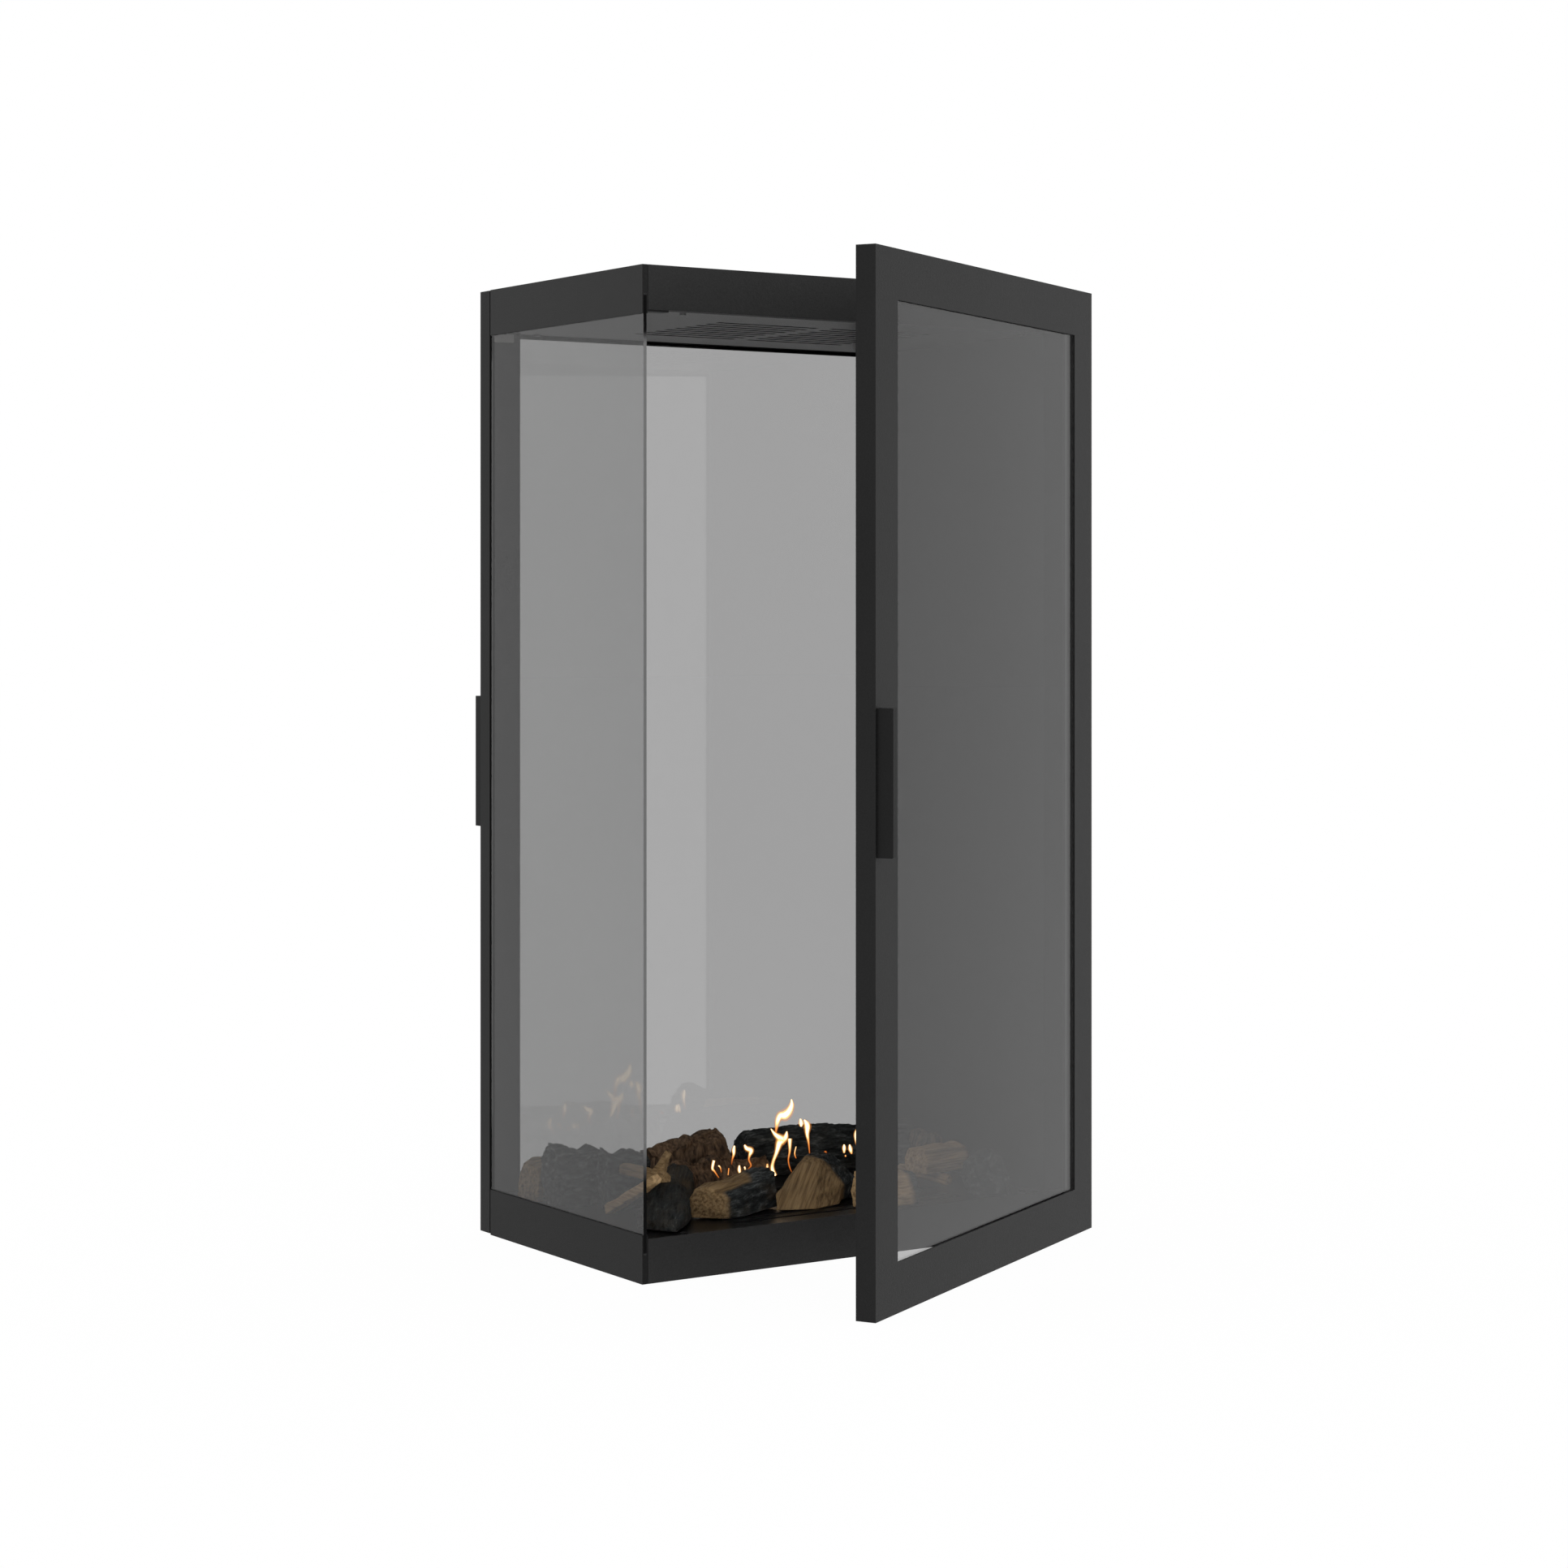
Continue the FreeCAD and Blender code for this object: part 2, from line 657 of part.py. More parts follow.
def burner_slide():
    """Plate that slides forward under the burner's top to shut the mouth, its knob and its two rails."""
    near, far = slider_edges()
    reach = size.mouth_length / 2 + size.slider_overlap
    high = hearth_top - size.slider_play
    low = high - size.slider_sheet
    prism("burner_slider", "XY", [rectangle(-reach, reach, near, far)], low, high)
    knob = prism("slider_knob", "XY", [
        circle(size.knob_place, knob_line(), size.knob_shank_radius)
    ], high, burner_top_level + size.slider_play)
    pad(knob, "XY", [
        circle(size.knob_place, knob_line(), size.knob_radius)
    ], burner_top_level + size.slider_play, burner_top_level + size.slider_play + size.knob_height)
    web = reach + size.slider_play
    lip = low - size.slider_play
    foot = lip - size.rail_sheet
    rail = [
        (web, hearth_top), (web, lip), (web - size.rail_lip, lip), (web - size.rail_lip, foot),
        (web + size.rail_sheet, foot), (web + size.rail_sheet, hearth_top),
    ]
    rails = [mirrored(rail, end) for end in (-1, 1)]
    prism("slider_rails", "XZ", rails, near - size.slider_travel, far)


# Doors
def door(name, side):
    """One glazed door, drawn closed and then turned about its hinge pins."""
    nodes_before = len(NODES)

    def depth(near, far):
        face = half_depth + size.door_gap
        return span(side, face + near, face + far)

    def frame_line(inset):
        return rectangle(left + inset, right - inset, door_low + inset, door_high - inset)

    thickness, rim = size.door_thickness, size.sheet
    box, liner = size.door_box_width, size.liner_sheet
    face_back = thickness - rim
    none = as_size(0)

    frame = prism(f"{name}_door_frame", "XZ", [frame_line(none), frame_line(size.door_frame_width)],
                  *depth(face_back, thickness))
    pad(frame, "XZ", [frame_line(none), frame_line(rim)], *depth(none, face_back))

    back = prism(f"{name}_door_inner_frame", "XZ", [frame_line(rim + size.pane_play), frame_line(box)],
                 *depth(none, liner))
    pad(back, "XZ", [frame_line(box - liner), frame_line(box)], *depth(liner, face_back))
    arm_half, play = size.arm_width / 2, size.slider_play
    arm_ways = [
        rectangle(pivot_x - arm_half - play, pivot_x + arm_half + play,
                  level - size.arm_height / 2 - play, level + size.arm_height / 2 + play)
        for level in hinge_levels
    ]
    cut(back, "XZ", arm_ways, *depth(none, liner))

    pane_edge = box + size.pane_play
    pane_back = face_back - size.pane_seal - size.glass_thickness
    prism(f"{name}_door_glass", "XZ", [frame_line(pane_edge)], *depth(pane_back, face_back - size.pane_seal))
    prism(f"{name}_door_glass_seal", "XZ",
          [frame_line(pane_edge), frame_line(size.door_frame_width - size.pane_seal_setback)],
          *depth(face_back - size.pane_seal, face_back))

    leg = box + size.retainer_play
    press = pane_back - size.retainer_play
    retainer = prism(f"{name}_door_retainer", "XZ", [frame_line(leg), frame_line(leg + size.retainer_leg)],
                     *depth(press - liner, press))
    pad(retainer, "XZ", [frame_line(leg), frame_line(leg + liner)],
        *depth(press - size.retainer_depth, press - liner))

    handle_low = left + size.handle_inset
    handle_x = handle_low + size.handle_thickness / 2
    handle_half = size.handle_length / 2
    screw_levels = [door_middle + size.handle_screw_span / 2 * end for end in (-1, 1)]
    grip = rectangle(handle_low, handle_low + size.handle_thickness,
                     door_middle - handle_half, door_middle + handle_half)
    handle = prism(f"{name}_door_handle", "XZ", [grip], *depth(thickness, thickness + size.handle_reach))
    tip = (half_depth + size.door_gap + thickness + size.handle_reach).number - size.handle_edge.number
    round_edges(handle, lambda edge: abs(edge.CenterOfMass.y) > tip, size.handle_edge)
    holes = [circle(handle_x, level, size.handle_screw_radius + size.screw_play) for level in screw_levels]
    cut(handle, "XZ", holes, *depth(thickness, thickness + size.handle_screw_depth))
    cut(frame, "XZ", holes, *depth(face_back, thickness))
    screws = prism(f"{name}_handle_screws", "XZ",
                   [circle(handle_x, level, size.handle_screw_radius) for level in screw_levels],
                   *depth(face_back, thickness + size.handle_screw_depth))
    pad(screws, "XZ", [circle(handle_x, level, size.handle_screw_head) for level in screw_levels],
        *depth(face_back - size.handle_screw_radius, face_back))

    arms = new_body(f"{name}_door_hinge_arms")
    pivot_y = pivot_line * side
    foot_out = half_depth + size.door_gap + liner + size.foot_thickness
    for level in hinge_levels:
        pad(arms, "XY", [circle(pivot_x, pivot_y, size.eye_radius)],
            level - size.eye_height / 2, level + size.eye_height / 2)
        arm = rectangle(pivot_x - arm_half, pivot_x + arm_half, *span(side, pivot_line, foot_out))
        pad(arms, "XY", [arm], level - size.arm_height / 2, level + size.arm_height / 2)
        pad(arms, "XY", [
            rectangle(pivot_x + arm_half - size.foot_length, pivot_x + arm_half,
                      *span(side, foot_out - size.foot_thickness, foot_out))
        ], level - size.foot_height / 2, level + size.foot_height / 2)
    for level in hinge_levels:
        cut(arms, "XY", [circle(pivot_x, pivot_y, size.pin_radius + size.pin_play)],
            level - size.eye_height / 2, level + size.eye_height / 2)

    strike_x = casing_left
    prism(f"{name}_door_strike", "XZ", [
        rectangle(strike_x, strike_x + size.catch_length,
                  ceiling_top - size.strike_height, ceiling_top)
    ], *depth(-size.strike_thickness, none))

    if side == FRONT:
        for node in NODES[nodes_before:]:
            swing(node, pivot_x, pivot_y, size.door_open_angle)


def swing(node, x, y, angle):
    """Turns a finished piece about an upright line through x, y."""
    node.Placement = Placement(Vector(), Rotation(Vector(0, 0, 1), angle.number))
    cos, sin = (f"{name}({angle.formula} * 1 deg)" for name in ("cos", "sin"))
    node.setExpression("Placement.Rotation.Angle", angle.formula)
    node.setExpression("Placement.Base.x", f"{x.formula} * (1 - {cos}) + {y.formula} * {sin}")
    node.setExpression("Placement.Base.y", f"{y.formula} * (1 - {cos}) - {x.formula} * {sin}")


# Logs
STATIONS = 5
WAVE = 0.07
SWELL_RATE, SWAY_RATE = 2.3, 1.7
SLANT = 0.22
PHASE_STEP = 1.3
CLOSE_BED = 0.97


def facet(*corners):
    return Part.Face(Part.makePolygon([*corners, corners[0]]))


def log_shape(section, length, width, height, far_share, tilt, phase):
    """Faceted solid through waving copies of the cross-section, along X, with its lowest point at z = 0."""
    rows = []
    tilted = Rotation(Vector(0, -1, 0), tilt)
    for station in range(STATIONS):
        along = station / (STATIONS - 1)
        share = 1 + (far_share - 1) * along
        wave = WAVE * math.sin(SWELL_RATE * station + phase)
        sway = WAVE * width * math.sin(SWAY_RATE * station + 2 * phase)
        lean = SLANT * height * math.sin(phase + math.pi * along) if station in (0, STATIONS - 1) else 0
        wide, tall = width * share * (1 + wave), height * share * (1 - wave)
        middle = (along - 0.5) * length
        rows.append([
            tilted.multVec(Vector(middle + lean * (up - 0.5), sway + across * wide, up * tall))
            for across, up in section
        ])
    lowest = Vector(0, 0, min(corner.z for row in rows for corner in row))
    rows = [[corner - lowest for corner in row] for row in rows]
    count = len(section)
    facets = []
    for near, far in zip(rows, rows[1:]):
        for i in range(count):
            j = (i + 1) % count
            facets += [facet(near[i], near[j], far[j]), facet(near[i], far[j], far[i])]
    for row in (rows[0], rows[-1]):
        facets += [facet(row[0], row[i], row[i + 1]) for i in range(1, count - 1)]
    shell = Part.makeShell(facets)
    shell.sewShape()
    solid = Part.makeSolid(shell)
    if solid.Volume < 0:
        solid.reverse()
    return solid


def logs():
    """Lays each log on the hearth, or on the burner's top where it reaches over it.

    The logs shrink together with a smaller hearth, and then all lie at the level of the burner's top.
    """
    plate = doc.getObject("burner_top").Shape
    hearth_width = wall_edge - casing_left
    hearth_depth = size.body_depth - (size.sheet + size.seam) * 2
    bed = smaller(hearth_width / LOG_BED[0], hearth_depth / LOG_BED[1])
    for index, (name, entry) in enumerate(LOGS.items()):
        shape_values = entry[:len(LOG_SHAPE)]
        drawn_length = shape_values[LOG_SHAPE.index("length")]
        drawn = doc.addObject("Part::Feature", f"{name}_drawn")
        drawn.Shape = log_shape(*shape_values, index * PHASE_STEP)
        scaled = doc.addObject("Part::Scale", f"{name}_scaled")
        scaled.Base = drawn
        scaled.Uniform = True
        scaled.setExpression("UniformScale", (getattr(size, f"{name}_length") / drawn_length * bed).formula)
        body = new_body(name)
        body.BaseFeature = scaled
        x, y, turn, lift = (getattr(size, f"{name}_{field}") for field in LOG_PLACE)
        doc.recompute()
        laid = body.Shape.copy()
        laid.Placement = Placement(Vector((x * bed).number, (y * bed).number, hearth_top.number),
                                   Rotation(Vector(0, 0, 1), turn.number))
        seat = burner_top_level if laid.common(plate).Volume > 0 else hearth_top
        level = f"({bed.formula} < {CLOSE_BED} ? {burner_top_level.formula} : {seat.formula})"
        body.setExpression("Placement.Rotation.Angle", turn.formula)
        body.setExpression("Placement.Base.x", (x * bed).formula)
        body.setExpression("Placement.Base.y", (y * bed).formula)
        body.setExpression("Placement.Base.z", f"{level} + {(lift * bed).formula}")


def write_nodes():
    """Checks every object and writes each piece to its own file."""
    doc.recompute()
    failed = [o.Label for o in doc.Objects if "Invalid" in o.State or "Error" in o.State]
    failed += [n.Label for n in NODES if n.Shape.isNull() or not n.Shape.isValid() or n.Shape.Volume <= 0]
    if failed:
        raise RuntimeError(f"failed objects: {failed}")
    os.makedirs("parts", exist_ok=True)
    for node in NODES:
        node.Shape.exportStep(f"parts/{node.Label}.step")
        print(node.Label, len(node.Shape.Solids), round(node.Shape.Volume))


for side_name, side_sign in SIDES.items():
    fascia(f"{side_name}_fascia", side_sign)
    sill(f"{side_name}_sill", side_sign)
left_end()
ceiling_grille()
top_cover()
hearth_plate()
right_end()
hinge_brackets()
hinge_pins()
door_catches()
casing_screws()
burner()
burner_slide()
for side_name, side_sign in SIDES.items():
    door(side_name, side_sign)
logs()
write_nodes()
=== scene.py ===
"""Looks of the see-through bioethanol fireplace: finishes, rough ceramic logs and the burner's flames.

Metres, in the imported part's own frame: +Z up, -Y towards the front door, +X towards the closed end.
"""

import json
import math

import bmesh
import bpy
import numpy as np
from mathutils import Matrix, Vector, noise


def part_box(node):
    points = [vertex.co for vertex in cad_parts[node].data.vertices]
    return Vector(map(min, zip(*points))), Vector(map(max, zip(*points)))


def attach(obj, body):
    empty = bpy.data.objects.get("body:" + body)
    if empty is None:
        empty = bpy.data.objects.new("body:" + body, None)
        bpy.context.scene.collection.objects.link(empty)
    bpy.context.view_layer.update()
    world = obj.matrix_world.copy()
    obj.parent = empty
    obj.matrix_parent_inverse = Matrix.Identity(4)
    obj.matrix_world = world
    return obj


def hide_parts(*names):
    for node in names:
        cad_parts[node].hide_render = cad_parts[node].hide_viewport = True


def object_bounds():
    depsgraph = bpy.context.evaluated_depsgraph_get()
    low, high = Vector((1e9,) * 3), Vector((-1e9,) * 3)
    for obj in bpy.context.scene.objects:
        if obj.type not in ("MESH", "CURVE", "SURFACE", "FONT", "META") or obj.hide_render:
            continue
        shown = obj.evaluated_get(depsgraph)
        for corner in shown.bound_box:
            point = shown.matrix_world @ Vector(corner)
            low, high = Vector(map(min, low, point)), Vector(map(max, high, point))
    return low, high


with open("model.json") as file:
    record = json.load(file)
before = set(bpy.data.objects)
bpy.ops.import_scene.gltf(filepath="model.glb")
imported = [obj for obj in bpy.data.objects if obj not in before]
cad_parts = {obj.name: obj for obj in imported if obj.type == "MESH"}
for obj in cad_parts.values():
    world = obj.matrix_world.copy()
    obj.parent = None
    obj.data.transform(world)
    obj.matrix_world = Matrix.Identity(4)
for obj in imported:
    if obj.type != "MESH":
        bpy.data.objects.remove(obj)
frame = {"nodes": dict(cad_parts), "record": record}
cad_low, cad_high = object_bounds()
nodes = frame["nodes"]
slot_of = {part["node"]: part["material_slot"] for part in frame["record"]["subparts"]}
scene = bpy.context.scene

MM = 0.001


# Material building blocks. A colour Mix node has its sockets at these places.
MIX_FACTOR, MIX_FIRST, MIX_SECOND, MIX_RESULT = 0, 6, 7, 2


def surface(name, **sockets):
    """Starts a node material; words for the shader's sockets use underscores for spaces."""
    material = bpy.data.materials.new(name)
    material.use_nodes = True
    shader = material.node_tree.nodes["Principled BSDF"]
    for socket, value in sockets.items():
        shader.inputs[socket.replace("_", " ")].default_value = value
    return material, material.node_tree, shader


def own_attribute(tree, name):
    node = tree.nodes.new("ShaderNodeAttribute")
    node.attribute_name = name
    return node.outputs


def place(tree, attribute=None, scale=(1, 1, 1)):
    """Object coordinates, or a piece's own attribute, stretched by a Mapping node."""
    if attribute:
        source = own_attribute(tree, attribute)["Vector"]
    else:
        source = tree.nodes.new("ShaderNodeTexCoord").outputs["Object"]
    mapping = tree.nodes.new("ShaderNodeMapping")
    mapping.inputs["Scale"].default_value = scale
    tree.links.new(source, mapping.inputs["Vector"])
    return mapping.outputs["Vector"]


def grain(tree, vector, rate, detail=4.0, roughness=0.6):
    node = tree.nodes.new("ShaderNodeTexNoise")
    node.inputs["Scale"].default_value = rate
    node.inputs["Detail"].default_value = detail
    node.inputs["Roughness"].default_value = roughness
    tree.links.new(vector, node.inputs["Vector"])
    return node.outputs["Fac"]


def cells(tree, vector, rate):
    node = tree.nodes.new("ShaderNodeTexVoronoi")
    node.inputs["Scale"].default_value = rate
    tree.links.new(vector, node.inputs["Vector"])
    return node.outputs["Distance"]


def ramp(tree, factor, *stops):
    """Colour ramp through (place, grey or colour) stops."""
    node = tree.nodes.new("ShaderNodeValToRGB")
    elements = node.color_ramp.elements
    while len(elements) < len(stops):
        elements.new(0.5)
    for element, (position, colour) in zip(elements, stops):
        element.position = position
        element.color = (*colour, 1) if isinstance(colour, tuple) else (colour, colour, colour, 1)
    tree.links.new(factor, node.inputs["Fac"])
    return node.outputs["Color"]


def mixed(tree, factor, first, second, blend="MIX"):
    node = tree.nodes.new("ShaderNodeMix")
    node.data_type = "RGBA"
    node.blend_type = blend
    if isinstance(factor, float):
        node.inputs[MIX_FACTOR].default_value = factor
    else:
        tree.links.new(factor, node.inputs[MIX_FACTOR])
    tree.links.new(first, node.inputs[MIX_FIRST])
    tree.links.new(second, node.inputs[MIX_SECOND])
    return node.outputs[MIX_RESULT]


def bump(tree, shader, height, strength, distance):
    node = tree.nodes.new("ShaderNodeBump")
    node.inputs["Strength"].default_value = strength
    node.inputs["Distance"].default_value = distance
    tree.links.new(height, node.inputs["Height"])
    tree.links.new(node.outputs["Normal"], shader.inputs["Normal"])


# Finishes of the casing. A rate says how many times a pattern repeats in a metre.
PEEL_RATE = 620
CLOUD_RATE = 6
CLOUD_SHARE = 0.35
BRUSH_RATE = 300
BRUSH_STRETCH = (40, 1, 1)
FILM_RATE = 3
FILM_TINT = 0.985
FROST_RATE = 900
WEAVE_RATE = 900
WOOL_RATE = 240
# Painted shade on the edges of the fixed pane: their share of light by level, as a share of the casing's
# height, none near the bands
EDGE_PAINTED_LIGHT = ((0.1, 0.0), (0.14, 1.0), (0.922, 1.0), (0.934, 0.0))


def powder_coat(name, dark, light, roughness, shine):
    """Fine-textured powder coat: sub-millimetre orange peel with a faint cloudy tone."""
    material, tree, shader = surface(name, Specular_IOR_Level=shine)
    peel = grain(tree, place(tree), PEEL_RATE, detail=3)
    cloud = grain(tree, place(tree), CLOUD_RATE, detail=3)
    peel_tone = ramp(tree, peel, (0.3, dark), (0.7, light))
    cloud_tone = ramp(tree, cloud, (0.3, dark), (0.7, light))
    tree.links.new(mixed(tree, CLOUD_SHARE, peel_tone, cloud_tone), shader.inputs["Base Color"])
    polish = ramp(tree, peel, (0.25, roughness - 0.05), (0.75, roughness + 0.07))
    tree.links.new(polish, shader.inputs["Roughness"])
    bump(tree, shader, peel, 0.5, 0.5 * MM)
    return material


def brushed_steel():
    """Bare steel with fine brush lines."""
    material, tree, shader = surface("brushed_steel", Metallic=1.0)
    lines = grain(tree, place(tree, scale=BRUSH_STRETCH), BRUSH_RATE, detail=3)
    tone = ramp(tree, lines, (0.3, (0.36, 0.35, 0.34)), (0.7, (0.5, 0.49, 0.47)))
    tree.links.new(tone, shader.inputs["Base Color"])
    tree.links.new(ramp(tree, lines, (0.2, 0.24), (0.8, 0.4)), shader.inputs["Roughness"])
    bump(tree, shader, lines, 0.08, 0.2 * MM)
    return material


def pane(name, tint, refraction):
    """Ceramic glass with a grey tint that varies by the faintest film."""
    material, tree, shader = surface(name, Roughness=0.0, IOR=refraction, Transmission_Weight=1.0)
    film = grain(tree, place(tree), FILM_RATE, detail=1)
    tree.links.new(ramp(tree, film, (0.3, tint * FILM_TINT), (0.7, tint)), shader.inputs["Base Color"])
    return material


def ground_edge():
    """Cut and ground edge of the fixed pane, with painted shade where it stands in or close to its bands."""
    material, tree, shader = surface("ground_glass_edge_with_painted_shade", Roughness=0.6, Specular_IOR_Level=0.1)
    frost = grain(tree, place(tree), FROST_RATE, detail=3)
    split = tree.nodes.new("ShaderNodeSeparateXYZ")
    tree.links.new(place(tree, scale=(1, 1, 1 / cad_high.z)), split.inputs["Vector"])
    light = ramp(tree, split.outputs["Z"], *EDGE_PAINTED_LIGHT)
    frosted = ramp(tree, frost, (0.3, 0.18), (0.7, 0.22))
    tree.links.new(mixed(tree, 1.0, frosted, light, "MULTIPLY"), shader.inputs["Base Color"])
    bump(tree, shader, frost, 0.2, 0.3 * MM)
    return material


def fibre_tape(name, raised, deep):
    """Woven sealing tape."""
    material, tree, shader = surface(name, Roughness=0.95)
    weave = cells(tree, place(tree), WEAVE_RATE)
    tree.links.new(ramp(tree, weave, (0.1, raised), (0.7, deep)), shader.inputs["Base Color"])
    bump(tree, shader, weave, 0.5, 0.4 * MM)
    return material


def fibre_wool():
    """Loose ceramic fibre in the burner."""
    material, tree, shader = surface("fibre_wool", Roughness=1.0)
    mat = grain(tree, place(tree), WOOL_RATE, detail=6, roughness=0.7)
    tone = ramp(tree, mat, (0.3, (0.5, 0.48, 0.44)), (0.7, (0.82, 0.8, 0.76)))
    tree.links.new(tone, shader.inputs["Base Color"])
    bump(tree, shader, mat, 0.6, 2 * MM)
    return material


# Finishes of the logs. The attribute "grain" is a place along, across and up the log, and "char" is the share
# of charring there. A pattern has its own rate along, across and up the log.
SPLIT_FIBRE = (14, 300, 300)
BARK_FIBRE = (240, 240, 40)
CHARRED_FIBRE = (20, 260, 260)
PATCHES = (14, 40, 40)
PATCH_SHARE = 0.35
ASH = (36, 170, 170)


def fired_clay(name, light, middle, dark, fibre, relief, ashes=1.0):
    """Coloured ceramic with wood fibre along the log, burnt blue-black where the log is charred."""
    material, tree, shader = surface(name, Roughness=0.9, Specular_IOR_Level=0.2)
    fibres = grain(tree, place(tree, "grain", fibre), 1, detail=3, roughness=0.65)
    patches = grain(tree, place(tree, "grain", PATCHES), 1, detail=2)
    fibre_tone = ramp(tree, fibres, (0.36, dark), (0.5, middle), (0.64, light))
    patch_tone = ramp(tree, patches, (0.35, dark), (0.55, middle), (0.7, light))
    wood = mixed(tree, PATCH_SHARE, fibre_tone, patch_tone)
    ash = grain(tree, place(tree, "grain", ASH), 1, detail=5, roughness=0.75)
    burnt = ramp(tree, ash, (0.38, (0.008, 0.009, 0.0095)), (0.5, (0.026, 0.029, 0.029)),
                 (0.57, (0.06 * ashes, 0.066 * ashes, 0.066 * ashes)),
                 (0.66, (0.15 * ashes, 0.155 * ashes, 0.15 * ashes)))
    charring = own_attribute(tree, "char")["Fac"]
    tree.links.new(mixed(tree, charring, wood, burnt), shader.inputs["Base Color"])
    bump(tree, shader, mixed(tree, charring, fibres, ash), relief, 3 * MM)
    return material


# The finish of each material slot. A powder coat has its darkest and lightest tone, roughness and shine, a
# pane its tint and refraction, a tape its raised and deep tone, and fired clay three tones, fibre and relief.
slot_finishes = {
    "powder_coat": powder_coat("anthracite_powder_coat", 0.010, 0.017, 0.46, 0.13),
    "hearth_coat": powder_coat("hearth_paint", 0.008, 0.012, 0.3, 0.2),
    "inner_black": powder_coat("black_paint", 0.005, 0.009, 0.5, 0.2),
    "steel": brushed_steel(),
    "clear_glass": pane("front_door_glass_tint", 0.46, 1.27),
    "seal": fibre_tape("black_fibre_tape", 0.03, 0.008),
    "wool": fibre_wool(),
    "log_tan": fired_clay("split_wood", (0.39, 0.265, 0.135), (0.26, 0.168, 0.08), (0.1, 0.061, 0.029),
                          SPLIT_FIBRE, 0.8),
    "log_brown": fired_clay("bark", (0.26, 0.168, 0.1), (0.135, 0.086, 0.052), (0.026, 0.016, 0.011),
                            BARK_FIBRE, 0.9),
    "log_charred": fired_clay("charred_wood", (0.16, 0.11, 0.06), (0.08, 0.055, 0.03), (0.02, 0.014, 0.01),
                              CHARRED_FIBRE, 0.9, ashes=0.5),
}
# Nodes whose finish is a lighter or darker copy of their slot's finish: painted light and shade, set node by
# node for how brightly each part is lit; the panes' tints and refraction are set the same way
painted_light_finishes = {
    "left_glass": pane("left_glass_lit_tint", 0.55, 1.3),
    "rear_door_glass": pane("rear_door_glass_shaded_tint", 0.41, 1.75),
    "ceiling_grille": powder_coat("ceiling_lit_powder_coat", 0.046, 0.056, 0.4, 0.25),
    "front_fascia": powder_coat("fascia_lit_powder_coat", 0.017, 0.026, 0.36, 0.2),
    "front_sill": powder_coat("sill_lit_powder_coat", 0.015, 0.023, 0.42, 0.15),
    "left_bottom_channel": powder_coat("band_shaded_powder_coat", 0.006, 0.012, 0.46, 0.1),
    "rear_door_frame": powder_coat("rear_door_shaded_powder_coat", 0.006, 0.012, 0.46, 0.1),
    "front_door_frame": powder_coat("front_door_shaded_powder_coat", 0.0085, 0.0145, 0.46, 0.12),
    "rear_door_handle": powder_coat("rear_handle_shaded_powder_coat", 0.005, 0.009, 0.5, 0.08),
    "front_door_handle": powder_coat("front_handle_shaded_powder_coat", 0.007, 0.012, 0.48, 0.1),
    "front_door_retainer": powder_coat("retainer_lit_powder_coat", 0.09, 0.11, 0.4, 0.3),
    "front_door_glass_seal": fibre_tape("lit_fibre_tape", 0.14, 0.06),
}
# Painted light: a lighter copy of the split wood for the logs that the panes shade
lit_split_wood = fired_clay("lit_split_wood", (0.72, 0.5, 0.27), (0.55, 0.36, 0.18), (0.25, 0.155, 0.075),
                             SPLIT_FIBRE, 0.8)
ashen_wood = fired_clay("ashen_wood", (0.2, 0.15, 0.1), (0.1, 0.075, 0.05), (0.03, 0.022, 0.016),
                        CHARRED_FIBRE, 0.9, ashes=0.9)
LIT_LOGS = ("right_split_log", "right_long_stick", "front_right_log", "left_long_stick")
ASHEN_LOGS = ("right_charred_log", "left_charred_log", "left_lump_log", "rear_charred_log")
log_finishes = {**dict.fromkeys(LIT_LOGS, lit_split_wood), **dict.fromkeys(ASHEN_LOGS, ashen_wood)}

# Faces that have a finish of their own. A facing bounds the share of a face's normal along one axis.
EDGE_FACING = 0.9
SLOT_WALL_FACING = 0.5
GRILLE_MARGIN = 20 * MM
grille_low, grille_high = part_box("ceiling_grille")


def on_pane_edge(face):
    """The fixed pane's front and rear edges."""
    return abs(face.normal.y) > EDGE_FACING


def in_ceiling_slot(face):
    """Walls of the ceiling's slots, without the plate's outer edges."""
    middle = face.center
    inside = min(middle.x - grille_low.x, grille_high.x - middle.x,
                 middle.y - grille_low.y, grille_high.y - middle.y)
    return abs(face.normal.z) < SLOT_WALL_FACING and inside > GRILLE_MARGIN


def on_ceiling_screw(face):
    """Screws in the casing's upper half, which hold the ceiling."""
    return face.center.z > cad_high.z / 2


def second_finish(node, finish, chosen):
    """Gives the chosen faces of a node another finish."""
    mesh = nodes[node].data
    mesh.materials.append(finish)
    for face in mesh.polygons:
        face.material_index = int(chosen(face))


def dress_casing():
    """Gives every node its finish, and some faces of three nodes a second one."""
    for name, node in nodes.items():
        node.data.materials.clear()
        node.data.materials.append(painted_light_finishes.get(name) or slot_finishes[slot_of[name]])
    second_finish("left_glass", ground_edge(), on_pane_edge)
    # Painted shade: a near-black coat on the walls of the ceiling's slots
    second_finish("ceiling_grille", powder_coat("slot_painted_shade_coat", 0.002, 0.004, 0.6, 0.05), in_ceiling_slot)
    # Painted light: a light coat on the ceiling's screws, close to the ceiling's lit copy of the powder coat
    second_finish("casing_screws", powder_coat("screw_lit_powder_coat", 0.085, 0.1, 0.4, 0.25), on_ceiling_screw)


# Making of new pieces
def added(name, data):
    """A new object in the scene."""
    piece = bpy.data.objects.new(name, data)
    scene.collection.objects.link(piece)
    return piece


def settle(piece):
    """Turns what a piece's modifiers make into its plain mesh."""
    graph = bpy.context.evaluated_depsgraph_get()
    piece.data = bpy.data.meshes.new_from_object(
        piece.evaluated_get(graph), preserve_all_data_layers=True, depsgraph=graph)
    piece.modifiers.clear()


